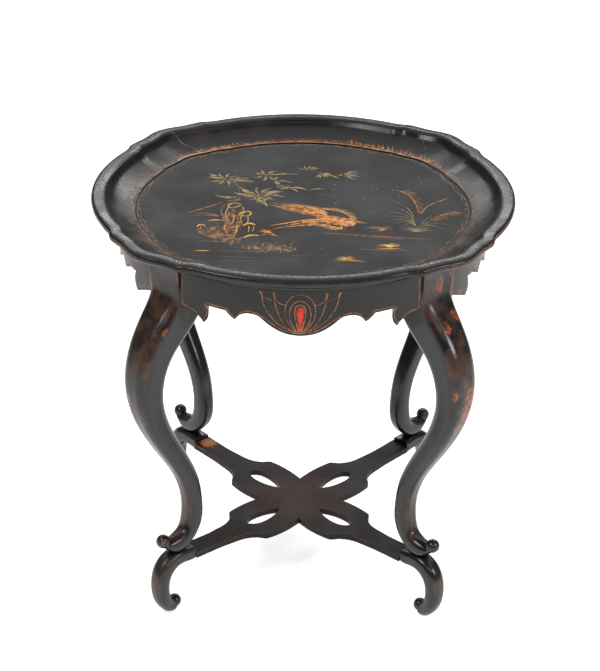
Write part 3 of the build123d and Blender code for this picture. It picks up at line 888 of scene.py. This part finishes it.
twigs += [
    [(-87, 20, 0.4), (-76, 30, 0.5), (-66, 39, 0.4)],
    [(-94, 20, 0.5), (-112, 6, 0.5), (-120, -18, 0.5), (-114, -46, 0.4)],
]
on_tray("twigs", twigs, rose, 0.2)
hearts = [
    leaf(x + chance.uniform(-3, 3), y + chance.uniform(-3, 3), chance.uniform(0, 360), 2.5, 1.0)
    for x, y in ((-118, 98), (-59, 116), (-66, 39), (24, 126), (56, 120), (-26, 74))
    for _ in range(6)
]
on_tray("flower_hearts", hearts, orange, 0.3)
fronds = (
    [leaf(-170 + 5 * n, -32 + 3.4 * n, 28 + 3 * n, 22, 1.3) for n in range(9)]
    + fan(-118, -42, 6, 46, 148, 172, 0.7, 0.35)
)
on_tray("left_fronds", fronds, rose, 0.15)

plume_1 = [(169, -19), (166, 14), (156, 48), (144, 62), (132, 66)]
plume_2 = [(172, -22), (184, 8), (214, 38)]
plume_3 = [(186, -40), (202, -24), (224, -10)]
reed_gold = [[(x, y, 0.7) for x, y in path] for path in (plume_1, plume_2, plume_3)]
reed_gold += barbs(plume_1[:4], 15, 35, 0.45, 18) + barbs(plume_3, 14, -20, 0.5, 12)
on_tray("reed_plumes", reed_gold, orange, 0.25)
blades = [(131, 30), (126, 8), (122, -12), (118, -30), (120, -48), (126, -60), (140, -70)]
reed_sage = [[(163, -64, 0.5), ((163 + x) / 2 + 8, (y - 64) / 2 + 12, 0.65), (x, y, 0.15)] for x, y in blades]
reed_sage += [
    [(170, -66, 0.5), ((170 + x) / 2, (y - 66) / 2 + 8, 0.6), (x, y, 0.15)]
    for x, y in ((188, -30), (206, -40), (212, -58), (206, -74))
]
reed_sage += fan(164, -86, 14, 26, 25, 155, 0.5)
on_tray("reed_blades", reed_sage, sage, 0.25)
tufts = (
    fan(124, -140, 11, 19, 25, 155, 0.75)
    + fan(63, -184, 9, 17, 25, 155, 0.75)
    + fan(114, -84, 6, 24, 40, 140, 0.5)
)
tufts += [
    [(45, -184, 0.2), (64, -185, 1.7), (90, -188, 0.2)],
    [(106, -143, 0.2), (124, -144, 1.5), (140, -143, 0.2)],
]
on_tray("grass_tufts", tufts, gold, 0.2)
specks = [leaf(chance.uniform(40, 215), chance.uniform(-20, 165), 0, 1.6, 0.55) for _ in range(34)]
specks += [leaf(chance.uniform(-190, 60), chance.uniform(-170, 160), 0, 1.4, 0.5) for _ in range(24)]
speck_limit = 225
specks = [stroke for stroke in specks if hypot(*stroke[0][:2]) < speck_limit]
speck_white = paint_finish("speck_white", (0.62, 0.58, 0.50), (0.30, 0.27, 0.22), 0.6)
on_tray("pale_specks", specks, speck_white, 0.3)
banks = [
    [(10, -94, 0.2), (40, -95, 1.0), (84, -100, 1.6), (130, -105, 1.9), (184, -110, 0.4)],
    [(60, -99, 0.2), (110, -107, 1.2), (172, -114, 0.2)],
    [(70, -147, 0.2), (122, -149, 1.5), (176, -150, 0.2)],
    [(-176, -113, 0.2), (-150, -115, 0.5), (-128, -116, 0.2)],
    [(-150, -126, 0.2), (-120, -129, 1.2), (-84, -130, 0.2)],
    [(-128, -159, 0.2), (-88, -160, 0.9), (-36, -161, 0.2)],
    [(-160, -176, 0.2), (-90, -180, 0.5), (-10, -181, 0.2)],
    [(-110, -190, 0.2), (-60, -192, 0.4), (10, -191, 0.2)],
    [(-30, -170, 0.2), (10, -172, 0.4), (40, -171, 0.2)],
    [(92, -84, 0.2), (108, -86, 0.5), (134, -88, 0.2)],
]
on_tray("banks_and_water", banks, rose, 0.12)
